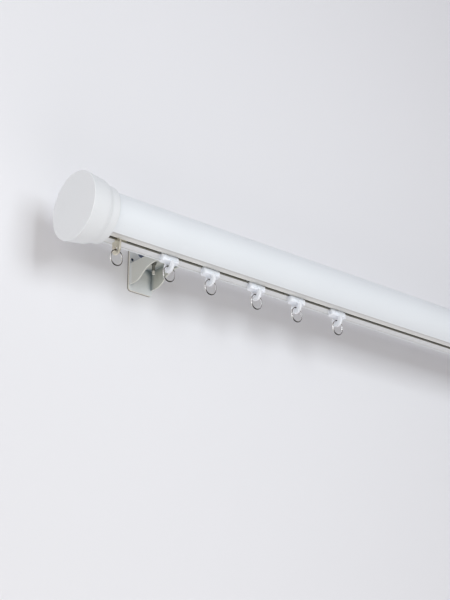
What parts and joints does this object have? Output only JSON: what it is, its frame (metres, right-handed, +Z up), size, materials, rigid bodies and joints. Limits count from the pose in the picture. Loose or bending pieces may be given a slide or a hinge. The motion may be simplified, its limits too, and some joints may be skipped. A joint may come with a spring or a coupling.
{
  "type": "curtain rod with brackets",
  "caption": "Round white curtain rod with a slotted underside track, hook gliders with wire rings, stepped end caps and wall brackets that clamp its back.",
  "frame": {"origin": "middle of the left bracket's two wall fixings, on the wall plane", "axes": "+X along the rod to the right, +Y into the wall, +Z up"},
  "size_m": [1.2142, 0.139, 0.0833],
  "materials": {
    "rod_paint": "white powder coat on aluminium, satin",
    "cap_paint": "white powder coat on aluminium, satin",
    "bracket_paint": "warm light grey powder coat, satin",
    "glider_plastic": "moulded white acetal",
    "nickel_wire": "bright nickel plate",
    "passivated_steel": "yellow passivated sheet steel",
    "zinc": "zinc plated",
    "dark_steel": "dark zinc plated"
  },
  "bodies": {
    "root": {"rod_profile": "rod_paint", "left_cap_cover": "cap_paint", "left_cap_base": "cap_paint", "left_cap_screws": "zinc", "left_stop_tab": "passivated_steel", "left_stop_block": "zinc", "left_stop_screw": "dark_steel", "left_wall_plate": "bracket_paint", "left_bracket_arm": "bracket_paint", "left_clamp_hook": "zinc", "left_clamp_screw": "zinc", "left_clamp_nut": "zinc", "left_wall_screws": "dark_steel", "right_cap_cover": "cap_paint", "right_cap_base": "cap_paint", "right_cap_screws": "zinc", "right_stop_tab": "passivated_steel", "right_stop_block": "zinc", "right_stop_screw": "dark_steel", "right_wall_plate": "bracket_paint", "right_bracket_arm": "bracket_paint", "right_clamp_hook": "zinc", "right_clamp_screw": "zinc", "right_clamp_nut": "zinc", "right_wall_screws": "dark_steel"},
    "left_stop_ring_body": {"left_stop_ring": "nickel_wire"},
    "left_glider_1_body": {"left_glider_1": "glider_plastic"},
    "left_ring_1_body": {"left_ring_1": "nickel_wire"},
    "left_glider_2_body": {"left_glider_2": "glider_plastic"},
    "left_ring_2_body": {"left_ring_2": "nickel_wire"},
    "left_glider_3_body": {"left_glider_3": "glider_plastic"},
    "left_ring_3_body": {"left_ring_3": "nickel_wire"},
    "left_glider_4_body": {"left_glider_4": "glider_plastic"},
    "left_ring_4_body": {"left_ring_4": "nickel_wire"},
    "left_glider_5_body": {"left_glider_5": "glider_plastic"},
    "left_ring_5_body": {"left_ring_5": "nickel_wire"},
    "right_stop_ring_body": {"right_stop_ring": "nickel_wire"},
    "right_glider_1_body": {"right_glider_1": "glider_plastic"},
    "right_ring_1_body": {"right_ring_1": "nickel_wire"},
    "right_glider_2_body": {"right_glider_2": "glider_plastic"},
    "right_ring_2_body": {"right_ring_2": "nickel_wire"},
    "right_glider_3_body": {"right_glider_3": "glider_plastic"},
    "right_ring_3_body": {"right_ring_3": "nickel_wire"},
    "right_glider_4_body": {"right_glider_4": "glider_plastic"},
    "right_ring_4_body": {"right_ring_4": "nickel_wire"},
    "right_glider_5_body": {"right_glider_5": "glider_plastic"},
    "right_ring_5_body": {"right_ring_5": "nickel_wire"}
  },
  "joints": [
    {"name": "left_stop_ring_swing", "type": "hinge", "parent": "root", "child": "left_stop_ring_body", "pos_m": [-0.0797, -0.07, -0.0483], "axis": [1, 0, 0], "range_deg": [-60, 60]},
    {"name": "left_glider_1_slide", "type": "slide", "parent": "root", "child": "left_glider_1_body", "axis": [1, 0, 0], "range_m": [-0.0395, 0.0313]},
    {"name": "left_ring_1_swing", "type": "hinge", "parent": "left_glider_1_body", "child": "left_ring_1_body", "pos_m": [-0.016, -0.07, -0.04792], "axis": [1, 0, 0], "range_deg": [-60, 60]},
    {"name": "left_glider_2_slide", "type": "slide", "parent": "root", "child": "left_glider_2_body", "axis": [1, 0, 0], "range_m": [-0.0313, 0.0397]},
    {"name": "left_ring_2_swing", "type": "hinge", "parent": "left_glider_2_body", "child": "left_ring_2_body", "pos_m": [0.0367, -0.07, -0.04792], "axis": [1, 0, 0], "range_deg": [-60, 60]},
    {"name": "left_glider_3_slide", "type": "slide", "parent": "root", "child": "left_glider_3_body", "axis": [1, 0, 0], "range_m": [-0.0397, 0.0346]},
    {"name": "left_ring_3_swing", "type": "hinge", "parent": "left_glider_3_body", "child": "left_ring_3_body", "pos_m": [0.0978, -0.07, -0.04792], "axis": [1, 0, 0], "range_deg": [-60, 60]},
    {"name": "left_glider_4_slide", "type": "slide", "parent": "root", "child": "left_glider_4_body", "axis": [1, 0, 0], "range_m": [-0.0346, 0.0378]},
    {"name": "left_ring_4_swing", "type": "hinge", "parent": "left_glider_4_body", "child": "left_ring_4_body", "pos_m": [0.1538, -0.07, -0.04792], "axis": [1, 0, 0], "range_deg": [-60, 60]},
    {"name": "left_glider_5_slide", "type": "slide", "parent": "root", "child": "left_glider_5_body", "axis": [1, 0, 0], "range_m": [-0.0378, 0.2499]},
    {"name": "left_ring_5_swing", "type": "hinge", "parent": "left_glider_5_body", "child": "left_ring_5_body", "pos_m": [0.213, -0.07, -0.04792], "axis": [1, 0, 0], "range_deg": [-60, 60]},
    {"name": "right_stop_ring_swing", "type": "hinge", "parent": "root", "child": "right_stop_ring_body", "pos_m": [1.0319, -0.07, -0.0483], "axis": [1, 0, 0], "range_deg": [-60, 60]},
    {"name": "right_glider_1_slide", "type": "slide", "parent": "root", "child": "right_glider_1_body", "axis": [-1, 0, 0], "range_m": [-0.0395, 0.0313]},
    {"name": "right_ring_1_swing", "type": "hinge", "parent": "right_glider_1_body", "child": "right_ring_1_body", "pos_m": [0.9682, -0.07, -0.04792], "axis": [1, 0, 0], "range_deg": [-60, 60]},
    {"name": "right_glider_2_slide", "type": "slide", "parent": "root", "child": "right_glider_2_body", "axis": [-1, 0, 0], "range_m": [-0.0313, 0.0397]},
    {"name": "right_ring_2_swing", "type": "hinge", "parent": "right_glider_2_body", "child": "right_ring_2_body", "pos_m": [0.9155, -0.07, -0.04792], "axis": [1, 0, 0], "range_deg": [-60, 60]},
    {"name": "right_glider_3_slide", "type": "slide", "parent": "root", "child": "right_glider_3_body", "axis": [-1, 0, 0], "range_m": [-0.0397, 0.0346]},
    {"name": "right_ring_3_swing", "type": "hinge", "parent": "right_glider_3_body", "child": "right_ring_3_body", "pos_m": [0.8544, -0.07, -0.04792], "axis": [1, 0, 0], "range_deg": [-60, 60]},
    {"name": "right_glider_4_slide", "type": "slide", "parent": "root", "child": "right_glider_4_body", "axis": [-1, 0, 0], "range_m": [-0.0346, 0.0378]},
    {"name": "right_ring_4_swing", "type": "hinge", "parent": "right_glider_4_body", "child": "right_ring_4_body", "pos_m": [0.7984, -0.07, -0.04792], "axis": [1, 0, 0], "range_deg": [-60, 60]},
    {"name": "right_glider_5_slide", "type": "slide", "parent": "root", "child": "right_glider_5_body", "axis": [-1, 0, 0], "range_m": [-0.0378, 0.2499]},
    {"name": "right_ring_5_swing", "type": "hinge", "parent": "right_glider_5_body", "child": "right_ring_5_body", "pos_m": [0.7392, -0.07, -0.04792], "axis": [1, 0, 0], "range_deg": [-60, 60]}
  ]
}
